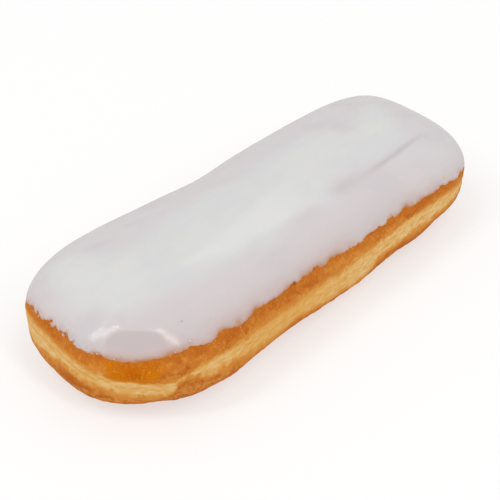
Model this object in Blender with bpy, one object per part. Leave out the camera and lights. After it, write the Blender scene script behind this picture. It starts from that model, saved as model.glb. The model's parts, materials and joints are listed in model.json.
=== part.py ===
"""Long john doughnut: a bar of fried yeast dough under a cap of white icing.

The bar lies along X and rests on Z = 0, with its near end at -X and the side that
shows most at -Y. It is centred on the origin. Lengths are metres, written as
millimetres times MM.
"""
import math

import bpy
import bmesh
import numpy as np
from mathutils import Vector, noise

MM = 0.001

# Size and outline of the whole bar, icing included
BAR_LENGTH = 150.0 * MM
HALF_WIDTH = 28.95 * MM
BAR_HEIGHT = 28.3 * MM            # without the raised middle of the icing
WIDEST_HEIGHT = 13.3 * MM         # the side reaches furthest out here
NEAR_CAP = 29.3 * MM              # reach of the end at -X past the straight sides
FAR_CAP = 32.1 * MM
NEAR_SQUARENESS = 2.2             # superellipse exponents: 2 is round, more is squarer
FAR_SQUARENESS = 2.85
SHOULDER_SQUARENESS = 2.3

# How the hand-cut bar departs from a true one
TAPER = -0.03                     # share of the width gained at the near end
BEND = 0.75 * MM                  # both ends lean to +Y by this much
FAR_SKEW = 0.20                   # the far end is cut at a slant
NEAR_SKEW = 0.04
PINCH_DEPTH = 2.4 * MM            # a waist pressed into the +Y side
PINCH_X = -5.5 * MM
PINCH_SPREAD = 18.0 * MM

# Underside: the flat it rests on lies inside the widest line by this inset.
# Each lump changes it: distance round the side, extra inset, spread.
REST_INSET = 10.5 * MM
UNDER_LUMPS = (
    (3.0 * MM, -1.0 * MM, 7.0 * MM),
    (28.0 * MM, 3.1 * MM, 6.5 * MM),
    (53.0 * MM, -1.2 * MM, 6.0 * MM),
    (74.0 * MM, 2.2 * MM, 7.5 * MM),
    (102.0 * MM, -1.5 * MM, 8.0 * MM),
    (120.0 * MM, 2.8 * MM, 8.0 * MM),
    (148.0 * MM, 4.3 * MM, 9.0 * MM),
    (167.0 * MM, 1.2 * MM, 8.0 * MM),
    (-17.0 * MM, 0.7 * MM, 6.0 * MM),
    (-50.0 * MM, 1.6 * MM, 9.0 * MM),
    (-105.0 * MM, -1.4 * MM, 11.0 * MM),
)
# Bulges of the whole side: distance round the side, reach outwards, spread
SIDE_LUMPS = (
    (-22.0 * MM, 0.5 * MM, 7.0 * MM),
    (-4.0 * MM, -0.5 * MM, 6.0 * MM),
    (10.0 * MM, 0.5 * MM, 4.5 * MM),
    (53.0 * MM, 0.55 * MM, 6.5 * MM),
    (143.0 * MM, -0.5 * MM, 6.5 * MM),
    (165.0 * MM, 0.35 * MM, 8.0 * MM),
    (-54.0 * MM, 0.4 * MM, 8.0 * MM),
    (-78.0 * MM, 0.6 * MM, 9.0 * MM),
    (-102.0 * MM, 0.35 * MM, 9.0 * MM),
    (-131.0 * MM, 0.4 * MM, 8.0 * MM),
    (-166.0 * MM, 1.15 * MM, 8.5 * MM),
)
# The pale line that floated above the frying oil, pressed in between two lobes
GROOVE_DEPTH = 0.75 * MM
GROOVE_HEIGHT = 12.2 * MM
GROOVE_SPREAD = 3.0 * MM
FOLD_WAY = 33.0 * MM              # here a fold of dough crosses the line and fills it
FOLD_SPREAD = 4.0 * MM
WRINKLE_HEIGHT = 0.30 * MM
WRINKLE_SIZE = 7.0 * MM

# Icing
HEM_HEIGHT = 19.4 * MM
# Runs and gaps in its lower edge: distance round the side, rise, spread
HEM_WAVES = (
    (-50.0 * MM, -1.6 * MM, 14.0 * MM),
    (-27.0 * MM, -3.4 * MM, 7.0 * MM),
    (-13.0 * MM, -0.5 * MM, 3.0 * MM),
    (-3.0 * MM, 0.5 * MM, 5.0 * MM),
    (22.0 * MM, -0.8 * MM, 5.0 * MM),
    (39.0 * MM, 0.3 * MM, 4.0 * MM),
    (76.0 * MM, 0.4 * MM, 3.5 * MM),
    (101.0 * MM, -0.6 * MM, 2.5 * MM),
    (132.0 * MM, -1.0 * MM, 5.0 * MM),
    (148.0 * MM, -1.9 * MM, 8.0 * MM),
    (164.0 * MM, -3.6 * MM, 9.0 * MM),
    (186.0 * MM, -2.4 * MM, 14.0 * MM),
    (-150.0 * MM, -1.0 * MM, 12.0 * MM),
    (-116.0 * MM, -2.0 * MM, 13.0 * MM),
    (-84.0 * MM, -0.8 * MM, 12.0 * MM),
)
SCALLOP_HEIGHT = 0.35 * MM
SCALLOP_SIZE = 5.0 * MM
ICING_GAP = 0.3 * MM              # clearance between the two solids
LIP_DEPTH = 1.0 * MM              # from the icing's face to the dough, at the hem
CROWN_DEPTH = 2.0 * MM            # and at the top
BARE_MARGIN = 3.2 * MM            # the crust is the outer face this far below the hem
LIP_ROUND = 0.25 * MM

# The thick middle that the knife left, and the crease along its -Y edge
PLATEAU_RISE = 0.4 * MM
PLATEAU_NEAR_EDGE = -13.3 * MM
PLATEAU_FAR_EDGE = 14.8 * MM
PLATEAU_ENDS = (-55.0 * MM, 57.0 * MM)
CREASE_DEPTH = 0.3 * MM
CREASE_WIDTH = 1.3 * MM
STREAK_CENTRE = (-34.5 * MM, -8.8 * MM)
STREAK_REACH = (9.0 * MM, 1.6 * MM)
STREAK_RISE = 0.3 * MM
SPREAD_HEIGHT = 0.25 * MM
SPREAD_SIZE = 26.0 * MM

# Fineness of the mesh
AROUND = 144
ACROSS = 4                        # faces across the fill of the top and the underside
UNDER_STEPS = 9
CRUST_STEPS = (0.05, 0.1, 0.15, 0.2, 0.26, 0.34, 0.45, 0.57, 0.69)
ICING_STEPS = (0.04, 0.12, 0.22, 0.32, 0.4, 0.48, 0.58)
LINING_STEPS = (0.05, 0.2, 0.38, 0.58)
STEP_TRIAL = 0.004                # change of the profile angle used to find a slope

X_NEAR = -(BAR_LENGTH / 2 - NEAR_CAP)
X_FAR = BAR_LENGTH / 2 - FAR_CAP
CAP_RADIUS = 31.0 * MM            # mean radius of the ends, for distances round the side
WAY_TO_TIP = math.pi * CAP_RADIUS + X_FAR - X_NEAR


def signed_power(value, power):
    """Raise to a power and keep the sign."""
    return np.sign(value) * np.abs(value) ** power


def smooth_step(value, low, high):
    """Rise smoothly from 0 at low to 1 at high."""
    share = np.clip((value - low) / (high - low), 0.0, 1.0)
    return share * share * (3.0 - 2.0 * share)


def bumps(way, stations):
    """Sum of the rounded bumps of a list, at distances round the side."""
    total = np.zeros_like(way)
    for centre, rise, spread in stations:
        apart = (way - centre + WAY_TO_TIP) % (2.0 * WAY_TO_TIP) - WAY_TO_TIP
        total += rise * np.exp(-(apart / spread) ** 2)
    return total


def noise_at(points, size, seed):
    """Smooth noise between about -1 and 1 at each point."""
    shift = Vector((seed * 17.3, seed * 5.9, seed * 11.1))
    return np.array([noise.noise(Vector(p) / size + shift) for p in points])


def end_curve(cap, squareness, count):
    """Quarter outline of one rounded end, from its tip to where the side runs straight."""
    angle = np.linspace(0.0, math.pi / 2, count)
    return np.column_stack((
        cap * signed_power(np.cos(angle), 2.0 / squareness),
        HALF_WIDTH * signed_power(np.sin(angle), 2.0 / squareness)))


def plan_outline():
    """Widest outline as seen from above, evenly spaced, starting at the tip at +X."""
    fine = 400
    far = end_curve(FAR_CAP, FAR_SQUARENESS, fine) + (X_FAR, 0.0)
    near = end_curve(NEAR_CAP, NEAR_SQUARENESS, fine)[::-1] * (-1.0, 1.0) + (X_NEAR, 0.0)
    half = np.vstack((far, near))
    run = np.concatenate(([0.0], np.cumsum(np.linalg.norm(np.diff(half, axis=0), axis=1))))
    stops = np.linspace(0.0, run[-1], AROUND // 2 + 1)
    left = np.column_stack([np.interp(stops, run, half[:, axis]) for axis in (0, 1)])
    right = left[-2:0:-1] * (1.0, -1.0)
    return np.vstack((left, right))


OUTLINE = plan_outline()
SPINE = np.column_stack((np.clip(OUTLINE[:, 0], X_NEAR, X_FAR), np.zeros(AROUND)))


def way_round(outline):
    """Distance round the side from the tip at -X, positive along the -Y side."""
    past = np.clip(outline[:, 0], X_NEAR, X_FAR)
    turn = np.arctan2(np.abs(outline[:, 1]), past - outline[:, 0])
    side = np.where(outline[:, 1] > 0.0, -1.0, 1.0)
    return side * (CAP_RADIUS * turn + past - X_NEAR)


WAY = way_round(OUTLINE)


def hand_shaped(points):
    """Turn points of the true bar into points of the tapered, bent and pinched one."""
    x, y = points[:, 0], points[:, 1]
    along = x / (BAR_LENGTH / 2)
    y_new = y * (1.0 + TAPER * along) + BEND * (along ** 2 - 0.35)
    waist = np.exp(-((x - PINCH_X) / PINCH_SPREAD) ** 2)
    y_new = y_new - np.where(y > 0.0, PINCH_DEPTH * waist * y / HALF_WIDTH, 0.0)
    x_new = x + y * FAR_SKEW * np.clip(along - 0.3, 0.0, 1.0)
    x_new = x_new + y * NEAR_SKEW * np.clip(-along - 0.3, 0.0, 1.0)
    return np.column_stack((x_new, y_new, points[:, 2]))


def crust_offset(height, reach):
    """How far the side stands out of its plain profile: lobes, fold, wrinkles, bulges."""
    line = np.exp(-((height - GROOVE_HEIGHT) / GROOVE_SPREAD) ** 2)
    fold = np.exp(-((WAY - FOLD_WAY) / FOLD_SPREAD) ** 2)
    places = np.column_stack((OUTLINE, height * 2.0))
    wrinkles = WRINKLE_HEIGHT * noise_at(places, WRINKLE_SIZE, 1)
    fade = smooth_step(height, 0.0, 4.0 * MM) * (1.0 - smooth_step(height, 17.5 * MM, 20.0 * MM))
    lobes = GROOVE_DEPTH * (0.35 - line * (1.0 - fold))
    return fade * (lobes + wrinkles) + reach * bumps(WAY, SIDE_LUMPS)


def ring_at(reach, height):
    """One closed ring of the bar: reach 1 is the widest outline, 0 the spine."""
    outwards = OUTLINE - SPINE
    unit = outwards / np.linalg.norm(outwards, axis=1)[:, None]
    flat = SPINE + outwards * reach[:, None] + unit * crust_offset(height, reach)[:, None]
    return np.column_stack((flat, height))


def crown_height(flat):
    """Height of the plain top above each plan position."""
    past = flat[:, 0] - np.clip(flat[:, 0], X_NEAR, X_FAR)
    cap = np.where(past > 0.0, FAR_CAP, NEAR_CAP)
    squareness = np.where(past > 0.0, FAR_SQUARENESS, NEAR_SQUARENESS)
    width_share = np.abs(flat[:, 1]) / HALF_WIDTH
    reach = ((np.abs(past) / cap) ** squareness + width_share ** squareness) ** (1.0 / squareness)
    power = SHOULDER_SQUARENESS
    return WIDEST_HEIGHT + (BAR_HEIGHT - WIDEST_HEIGHT) * (1.0 - reach ** power) ** (1.0 / power)


def under_ring(turn):
    """Ring below the widest line: turn 0 is the widest line, 1 the rest flat's edge."""
    inset = REST_INSET + bumps(WAY, UNDER_LUMPS)
    angle = turn * math.pi / 2
    reach = 1.0 - inset / HALF_WIDTH * (1.0 - math.cos(angle))
    height = np.full(AROUND, WIDEST_HEIGHT * (1.0 - math.sin(angle)))
    return ring_at(reach, height)


def upper_ring(turn):
    """Ring above the widest line; turn, one value for each point, is 1 at the spine."""
    power = 2.0 / SHOULDER_SQUARENESS
    reach = np.cos(turn * math.pi / 2) ** power
    rise = np.sin(turn * math.pi / 2) ** power
    return ring_at(reach, WIDEST_HEIGHT + (BAR_HEIGHT - WIDEST_HEIGHT) * rise)


def upper_normals(turn):
    """Directions straight out of the surface at the points of an upper ring."""
    low = upper_ring(np.maximum(turn - STEP_TRIAL, 0.0))
    high = upper_ring(turn + STEP_TRIAL)
    here = upper_ring(turn)
    along = np.roll(here, -1, axis=0) - np.roll(here, 1, axis=0)
    out = np.cross(along, high - low)
    return out / np.linalg.norm(out, axis=1)[:, None]


def icing_relief(points):
    """Rise of the icing's face: thick middle, crease, knife streak and slow waves."""
    x, y = points[:, 0], points[:, 1]
    ends = smooth_step(x, PLATEAU_ENDS[0] - 6.0 * MM, PLATEAU_ENDS[0] + 6.0 * MM)
    ends = ends * (1.0 - smooth_step(x, PLATEAU_ENDS[1] - 6.0 * MM, PLATEAU_ENDS[1] + 6.0 * MM))
    near = smooth_step(y, PLATEAU_NEAR_EDGE - 1.5 * MM, PLATEAU_NEAR_EDGE + 1.5 * MM)
    far = 1.0 - smooth_step(y, PLATEAU_FAR_EDGE - 4.0 * MM, PLATEAU_FAR_EDGE + 4.0 * MM)
    crease = np.exp(-((y - PLATEAU_NEAR_EDGE + 1.2 * MM) / CREASE_WIDTH) ** 2)
    crease = crease * ends * smooth_step(x, -30.0 * MM, 15.0 * MM)
    streak_x = (x - STREAK_CENTRE[0]) / STREAK_REACH[0]
    streak_y = (y - STREAK_CENTRE[1]) / STREAK_REACH[1]
    streak = np.exp(-streak_x ** 2 - streak_y ** 2)
    waves = noise_at(points, SPREAD_SIZE, 2)
    return (PLATEAU_RISE * near * far * ends - CREASE_DEPTH * crease
            + STREAK_RISE * streak + SPREAD_HEIGHT * waves)


def hem_heights():
    """Height of the icing's lower edge at each point round the side."""
    places = np.column_stack((OUTLINE, np.zeros(AROUND)))
    scallops = SCALLOP_HEIGHT * noise_at(places, SCALLOP_SIZE, 3)
    return HEM_HEIGHT + bumps(WAY, HEM_WAVES) + scallops


HEM = hem_heights()
HEM_SHARES = (HEM - WIDEST_HEIGHT) / (BAR_HEIGHT - WIDEST_HEIGHT)
HEM_TURNS = np.arcsin(HEM_SHARES ** (SHOULDER_SQUARENESS / 2.0)) * 2.0 / math.pi


def icing_depth(height, hem):
    """Depth of the dough under the icing's outer face."""
    lip = smooth_step(height, hem - BARE_MARGIN, hem) * LIP_DEPTH
    crown = smooth_step(height, hem, BAR_HEIGHT) * (CROWN_DEPTH - LIP_DEPTH)
    return lip + crown


def crust_ring(turn):
    """Ring of the dough's own surface above the widest line."""
    turns = np.full(AROUND, turn)
    ring = upper_ring(turns)
    return ring - upper_normals(turns) * icing_depth(ring[:, 2], HEM)[:, None]


def icing_ring(share, depth_left):
    """Icing ring: share 0 is the hem, 1 the spine; depth_left 0 its face, 1 its lining."""
    turns = HEM_TURNS + (1.0 - HEM_TURNS) * share
    ring = upper_ring(turns)
    normals = upper_normals(turns)
    lining = icing_depth(ring[:, 2], HEM) - ICING_GAP
    relief = icing_relief(ring) * min(1.0, share * 4.0)
    move = relief * (1.0 - depth_left) - lining * depth_left
    return ring + normals * move[:, None]


def lip_ring():
    """Rounded edge between the icing's face and its lining."""
    face, lining = icing_ring(0.0, 0.0), icing_ring(0.0, 1.0)
    middle = (face + lining) / 2.0
    middle[:, 2] -= LIP_ROUND
    return middle


def flat_fill(points):
    """The flat underside, at Z = 0."""
    return points * (1.0, 1.0, 0.0)


def dough_fill(points):
    """The dough's top, under the middle of the icing."""
    height = crown_height(points)
    return np.column_stack((points[:, :2], height - icing_depth(height, HEM_HEIGHT)))


def icing_face_fill(points):
    """The middle of the icing's face."""
    bare = np.column_stack((points[:, :2], crown_height(points)))
    return bare + np.outer(icing_relief(bare), (0.0, 0.0, 1.0))


def icing_lining_fill(points):
    """The middle of the icing's lining, just clear of the dough."""
    return dough_fill(points) + (0.0, 0.0, ICING_GAP)


def add_ring(mesh, ring):
    """Add a ring's points to the mesh."""
    return [mesh.verts.new(Vector(point)) for point in ring]


def join_rings(mesh, lower, upper):
    """Faces between two rings, facing out when the lower one comes first."""
    for index in range(AROUND):
        after = (index + 1) % AROUND
        mesh.faces.new((lower[index], lower[after], upper[after], upper[index]))


def close_ring(mesh, verts, ring, fill, upwards):
    """Close a ring with strips that run from side to side; fill sets their heights."""
    half = AROUND // 2
    rows = [[verts[0]] * (ACROSS + 1)]
    for step in range(1, half):
        left, right = ring[step], ring[AROUND - step]
        shares = np.arange(1, ACROSS)[:, None] / ACROSS
        inner = add_ring(mesh, fill(left + (right - left) * shares))
        rows.append([verts[step]] + inner + [verts[AROUND - step]])
    rows.append([verts[half]] * (ACROSS + 1))
    for first, second in zip(rows, rows[1:]):
        for part in range(ACROSS):
            square = (first[part], second[part], second[part + 1], first[part + 1])
            corners = list(dict.fromkeys(square))
            mesh.faces.new(corners if upwards else corners[::-1])


def finish_mesh(mesh, name):
    """Give the bar its hand-cut shape and write the mesh as a smooth object."""
    bmesh.ops.triangulate(mesh, faces=mesh.faces[:])
    shaped = hand_shaped(np.array([vert.co for vert in mesh.verts]))
    for vert, place in zip(mesh.verts, shaped):
        vert.co = Vector(place)
    data = bpy.data.meshes.new(name)
    mesh.to_mesh(data)
    mesh.free()
    data.shade_smooth()
    piece = bpy.data.objects.new(name, data)
    bpy.context.collection.objects.link(piece)
    return piece


def build_dough():
    """The bar itself: flat underside, two browned lobes, and the top the icing covers."""
    rings = [under_ring(turn) for turn in np.linspace(1.0, 0.0, UNDER_STEPS)]
    rings += [crust_ring(turn) for turn in CRUST_STEPS]
    mesh = bmesh.new()
    verts = [add_ring(mesh, ring) for ring in rings]
    for lower, upper in zip(verts, verts[1:]):
        join_rings(mesh, lower, upper)
    close_ring(mesh, verts[0], rings[0], flat_fill, False)
    close_ring(mesh, verts[-1], rings[-1], dough_fill, True)
    return finish_mesh(mesh, "dough")


def build_icing():
    """Closed cap: outer face, rounded lip and a lining that follows the dough."""
    faces = [icing_ring(0.0, 0.0)] + [icing_ring(step, 0.0) for step in ICING_STEPS]
    linings = [icing_ring(0.0, 1.0)] + [icing_ring(step, 1.0) for step in LINING_STEPS]
    mesh = bmesh.new()
    outer = [add_ring(mesh, ring) for ring in faces]
    inner = [add_ring(mesh, ring) for ring in linings]
    lip = add_ring(mesh, lip_ring())
    for lower, upper in zip(outer, outer[1:]):
        join_rings(mesh, lower, upper)
    join_rings(mesh, lip, outer[0])
    join_rings(mesh, inner[0], lip)
    for lower, upper in zip(inner, inner[1:]):
        join_rings(mesh, upper, lower)
    close_ring(mesh, outer[-1], faces[-1], icing_face_fill, True)
    close_ring(mesh, inner[-1], linings[-1], icing_lining_fill, False)
    return finish_mesh(mesh, "icing")


def stand_at_origin(pieces):
    """Move the meshes so that the bar is centred on the origin and rests on Z = 0."""
    points = np.array([vert.co for piece in pieces for vert in piece.data.vertices])
    low, high = points.min(axis=0), points.max(axis=0)
    shift = Vector((-(low[0] + high[0]) / 2, -(low[1] + high[1]) / 2, -low[2]))
    for piece in pieces:
        for vert in piece.data.vertices:
            vert.co += shift
    return shift


def plain_material(name, colour, roughness):
    """A Principled surface of one colour."""
    material = bpy.data.materials.new(name)
    material.use_nodes = True
    shader = material.node_tree.nodes["Principled BSDF"]
    shader.inputs["Base Color"].default_value = (*colour, 1.0)
    shader.inputs["Roughness"].default_value = roughness
    shader.inputs["Metallic"].default_value = 0.0
    return material


def crust_material():
    """Golden brown fried crust."""
    return plain_material("crust", (0.56, 0.20, 0.04), 0.6)


def icing_material():
    """White sugar icing with a soft gloss."""
    return plain_material("icing", (0.71, 0.70, 0.69), 0.25)


def main():
    """Build the doughnut in an empty scene."""
    for thing in list(bpy.data.objects):
        bpy.data.objects.remove(thing, do_unlink=True)
    dough = build_dough()
    icing = build_icing()
    dough.data.materials.append(crust_material())
    icing.data.materials.append(icing_material())
    shift = stand_at_origin((dough, icing))
    print("moved by", [round(value / MM, 2) for value in shift], "mm")


main()
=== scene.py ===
# %% [markdown]
# # A long john doughnut, dressed for its portrait
#
# A long john is a bar of yeast dough, fried and then dipped upside down in icing.
# The imported model already has both pieces at their true size: `dough`, the fried bar,
# and `icing`, the cap. This script leaves those as they are and makes a finer copy of
# each, because crust and icing are known by details that the imported solids are too
# coarse for: the pale line that never touched the oil, the flaky skin, and the uneven hem.

import json
import math

import bpy
import numpy as np
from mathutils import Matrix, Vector, noise
from mathutils.bvhtree import BVHTree

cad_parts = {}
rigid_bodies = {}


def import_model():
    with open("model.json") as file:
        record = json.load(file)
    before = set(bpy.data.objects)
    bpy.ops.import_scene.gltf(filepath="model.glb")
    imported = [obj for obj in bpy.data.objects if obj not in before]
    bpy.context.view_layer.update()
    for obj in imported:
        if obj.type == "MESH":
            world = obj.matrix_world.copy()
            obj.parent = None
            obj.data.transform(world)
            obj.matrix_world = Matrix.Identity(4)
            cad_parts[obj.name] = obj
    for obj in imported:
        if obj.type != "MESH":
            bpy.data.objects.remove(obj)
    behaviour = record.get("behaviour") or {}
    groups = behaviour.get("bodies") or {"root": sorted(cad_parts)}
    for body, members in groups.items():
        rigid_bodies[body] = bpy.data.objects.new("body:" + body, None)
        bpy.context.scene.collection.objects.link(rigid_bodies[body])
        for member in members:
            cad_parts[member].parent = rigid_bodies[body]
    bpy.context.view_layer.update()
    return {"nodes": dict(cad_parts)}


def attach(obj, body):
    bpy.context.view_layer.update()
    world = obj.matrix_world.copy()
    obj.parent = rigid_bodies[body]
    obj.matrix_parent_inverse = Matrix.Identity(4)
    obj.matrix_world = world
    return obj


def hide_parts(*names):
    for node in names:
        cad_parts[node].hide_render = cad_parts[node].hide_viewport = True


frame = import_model()
MM = 0.001

# %% [markdown]
# ## The camera
#
# The photo looks down on the front left corner of the bar from a third of a metre away,
# with a long lens. A camera that sits further away with a longer lens gives nearly the
# same picture, so the distance is a guess and the lens follows from it.

# %% Place the camera
AZIMUTH = math.radians(-47.7)
ELEVATION = math.radians(35.0)
DISTANCE = 340.0 * MM
LENS = 90.4                       # for a sensor 36 wide
AIM = Vector((-10.7, -3.6, 14.0)) * MM

back = Vector((math.sin(AZIMUTH) * math.cos(ELEVATION),
               -math.cos(AZIMUTH) * math.cos(ELEVATION),
               math.sin(ELEVATION)))
bpy.ops.object.camera_add(location=AIM + back * DISTANCE,
                          rotation=back.to_track_quat("Z", "Y").to_euler())
camera = bpy.context.object
camera.data.lens = LENS
camera.data.sensor_width = 36.0
camera.data.clip_start = 0.01
bpy.context.scene.camera = camera
bpy.context.scene.view_settings.view_transform = "Standard"
print("camera at", [round(v, 3) for v in camera.location])

# %% [markdown]
# ## Light and floor
#
# The photo was lit softly from everywhere, as in a white light tent: hardly a shadow,
# and the sides almost as bright as the top. A white world does most of that. Two soft
# boxes stand left and right of the camera. Their places come from the shine on the
# front shoulder: light leaves a glossy surface at the angle at which it came in, so the
# bright patch on the left and the bright arc on the right point back at one box each.
# Between them the shoulder mirrors the darker gap where the camera is.

# %% Make the light tent
WORLD_STRENGTH = 0.69
BOX_DISTANCE = 2.0
BOX_GLOW = 22.0                   # watts for each square metre of box
LEFT_BOX = Vector((-0.54, 0.23, 0.81))
LEFT_SIZE = (0.26, 1.30)
RIGHT_BOX = Vector((-0.04, -0.56, 0.83))
RIGHT_SIZE = (0.24, 1.66)


def soft_box(name, direction, size):
    """A soft rectangular lamp in a direction from the doughnut, turned to face it."""
    facing = direction.to_track_quat("Z", "Y").to_euler()
    bpy.ops.object.light_add(type="AREA", location=direction * BOX_DISTANCE, rotation=facing)
    lamp = bpy.context.object
    lamp.name = name
    lamp.data.shape = "RECTANGLE"
    lamp.data.size, lamp.data.size_y = size
    lamp.data.energy = BOX_GLOW * size[0] * size[1]


world = bpy.data.worlds.new("white tent")
world.use_nodes = True
sky = world.node_tree.nodes["Background"]
sky.inputs["Color"].default_value = (1.0, 0.995, 0.985, 1.0)
sky.inputs["Strength"].default_value = WORLD_STRENGTH
bpy.context.scene.world = world
soft_box("left box", LEFT_BOX, LEFT_SIZE)
soft_box("right box", RIGHT_BOX, RIGHT_SIZE)

# %% [markdown]
# The ground of the photo is white right up to the doughnut, as on a light table. So the
# floor glows a little itself, which also takes the weight out of the shadow. The icing in
# the photo doesn't mirror any of that white at its far rim, so the floor is left out of
# mirror images.

# %% Lay the floor
FLOOR_WHITE = 0.42
FLOOR_GLOW = 0.58

bpy.ops.mesh.primitive_plane_add(size=4.0, location=(0.0, 0.0, 0.0))
floor = bpy.context.object
floor.name = "floor"
floor_paint = bpy.data.materials.new("floor white")
floor_paint.use_nodes = True
floor_shader = floor_paint.node_tree.nodes["Principled BSDF"]
floor_shader.inputs["Base Color"].default_value = (FLOOR_WHITE, FLOOR_WHITE, FLOOR_WHITE, 1.0)
floor_shader.inputs["Roughness"].default_value = 0.9
floor_shader.inputs["Specular IOR Level"].default_value = 0.2
floor_shader.inputs["Emission Color"].default_value = (1.0, 1.0, 1.0, 1.0)
floor_shader.inputs["Emission Strength"].default_value = FLOOR_GLOW
floor.data.materials.append(floor_paint)
floor.visible_glossy = False
print("floor laid, side", floor.dimensions.x, "m")

# %% [markdown]
# ## A ruler that runs round the side
#
# Most of what shows on the crust follows the side of the bar: the pale line, the hem of
# the icing, the fold near the front corner. So places on it are given as on a tape
# measure laid round the bar, in millimetres. It starts at the tip at -X, counts up
# along the side that faces the camera, and reaches 186 at the far tip. The hidden side
# has the same numbers with a minus sign.

# %% Measure along the tape
CAP_RADIUS = 31.0
NEAR_CENTRE = -46.2               # the round ends are turned about these points
FAR_CENTRE = 42.4
MIDDLE_Y = 0.2
WAY_TO_TIP = math.pi * CAP_RADIUS + FAR_CENTRE - NEAR_CENTRE


def way_of(points):
    """Tape reading at each point, in mm."""
    x, y = points[:, 0], points[:, 1] - MIDDLE_Y
    past = np.clip(x, NEAR_CENTRE, FAR_CENTRE)
    turn = np.arctan2(np.abs(y), past - x)
    return np.where(y > 0.0, -1.0, 1.0) * (CAP_RADIUS * turn + past - NEAR_CENTRE)


def along_tape(way, stations):
    """Height of a line drawn through listed stations, closed round the bar."""
    ways, heights = zip(*stations)
    return np.interp(way, ways, heights, period=2.0 * WAY_TO_TIP)


def smooth_step(value, low, high):
    """Rise smoothly from 0 at low to 1 at high."""
    share = np.clip((value - low) / (high - low), 0.0, 1.0)
    return share * share * (3.0 - 2.0 * share)


def hump(value, centre, spread):
    """A rounded bump: 1 at the centre, about a third at the spread."""
    return np.exp(-((value - centre) / spread) ** 2)


def grain(points, size, seed):
    """Smooth noise, about -1 to 1; size in mm along X, Y and Z."""
    shift = np.array((seed * 17.3, seed * 5.9, seed * 11.1))
    return np.array([noise.noise(Vector(p)) for p in points / np.array(size) + shift])


print("once round the tape is", round(2 * WAY_TO_TIP), "mm")

# %% [markdown]
# ## Working copies
#
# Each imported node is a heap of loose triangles. A copy is merged into one skin, turned
# back into quads where it can be, and smoothed once with Subdivision Surface. Then only
# the band that shows close up is cut finer in edit mode. Subdividing everything twice
# more would spend most of the triangles on faces that the icing hides. At the two ends of
# the bar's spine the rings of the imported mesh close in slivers, which would show as marks
# in the gloss, so the points there are evened out first.

# %% Copy, merge and refine
MERGE = 0.01 * MM
SPINE_ENDS = ((-60.9, 1.6), (58.6, 0.6))    # x and y, mm
SPINE_REACH = 5.5
SPINE_FLOOR = 20.0                # mm, so that the top is evened out and not the underside
SPINE_EASING = 60                 # rounds of smoothing


def select_only(piece):
    """Make one object the only selected one, and the active one."""
    bpy.ops.object.select_all(action="DESELECT")
    piece.select_set(True)
    bpy.context.view_layer.objects.active = piece


def places_of(piece, kind="co"):
    """All the vertices' places (in mm) or normals, as rows."""
    values = np.empty(len(piece.data.vertices) * 3)
    piece.data.vertices.foreach_get(kind, values)
    rows = values.reshape(-1, 3)
    return rows / MM if kind == "co" else rows


def put_places(piece, points):
    """Move the vertices to new places, given in mm."""
    piece.data.vertices.foreach_set("co", (points * MM).ravel())
    piece.data.update()


def smooth_copy(node, name):
    """A merged, once-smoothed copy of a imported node."""
    select_only(frame["nodes"][node])
    bpy.ops.object.duplicate()
    piece = bpy.context.object
    bpy.ops.object.parent_clear(type="CLEAR_KEEP_TRANSFORM")
    for key in list(piece.keys()):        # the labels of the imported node
        del piece[key]
    piece.name = piece.data.name = name
    piece.data.materials.clear()
    bpy.ops.object.mode_set(mode="EDIT")
    bpy.ops.mesh.select_all(action="SELECT")
    bpy.ops.mesh.remove_doubles(threshold=MERGE)
    bpy.ops.mesh.customdata_custom_splitnormals_clear()
    bpy.ops.mesh.mark_sharp(clear=True)
    bpy.ops.mesh.tris_convert_to_quads()
    bpy.ops.object.mode_set(mode="OBJECT")
    bpy.ops.object.modifier_add(type="SUBSURF")
    bpy.ops.object.modifier_apply(modifier=piece.modifiers[-1].name)
    bpy.ops.object.shade_smooth()
    return piece


def edit_points(piece, wanted):
    """Go into edit mode on one piece, with only the wanted points selected."""
    select_only(piece)
    bpy.ops.object.mode_set(mode="EDIT")
    bpy.ops.mesh.select_mode(type="VERT")
    bpy.ops.mesh.select_all(action="DESELECT")
    bpy.ops.object.mode_set(mode="OBJECT")
    piece.data.vertices.foreach_set("select", wanted)
    bpy.ops.object.mode_set(mode="EDIT")


def cut_finer(piece, wanted, cuts):
    """Cut the faces whose corners are all wanted into smaller ones, and round them off."""
    edit_points(piece, wanted)
    bpy.ops.mesh.subdivide(number_cuts=cuts, smoothness=1.0)
    bpy.ops.mesh.vertices_smooth(factor=0.5, repeat=2)
    bpy.ops.object.mode_set(mode="OBJECT")


def ease_spine_ends(piece):
    """Even out the crowded faces where the rings close, at both ends of the spine."""
    points = places_of(piece)
    near = np.zeros(len(points), bool)
    for end in SPINE_ENDS:
        near |= np.linalg.norm(points[:, :2] - end, axis=1) < SPINE_REACH
    edit_points(piece, near & (points[:, 2] > SPINE_FLOOR))
    bpy.ops.mesh.vertices_smooth(factor=0.5, repeat=SPINE_EASING)
    bpy.ops.object.mode_set(mode="OBJECT")


def triangles_in(piece):
    """Number of triangles that the mesh exports as."""
    return sum(len(face.vertices) - 2 for face in piece.data.polygons)


crust = smooth_copy("dough", "crust")
ease_spine_ends(crust)
icing = smooth_copy("icing", "icing_cap")
ease_spine_ends(icing)
print("once smoothed:", triangles_in(crust), "and", triangles_in(icing), "triangles")

# %% [markdown]
# ## Reading the hem
#
# The hem is the lower edge of the icing. Its height wanders round the bar, and the
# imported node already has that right, so it is read from there: the lowest point of the
# icing in each few millimetres of tape.

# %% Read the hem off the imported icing
HEM_BIN = 3.0
LIP_DROP = 0.2                    # the rounded lip hangs this far below the hem


def read_hem():
    """Middles of the bins along the tape, and the hem's height in each."""
    points = places_of(icing)
    bins = np.floor(way_of(points) / HEM_BIN).astype(int)
    numbers = np.unique(bins)
    lowest = [points[bins == number, 2].min() for number in numbers]
    return (numbers + 0.5) * HEM_BIN, np.array(lowest) + LIP_DROP


hem_ways, hem_heights = read_hem()


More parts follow.
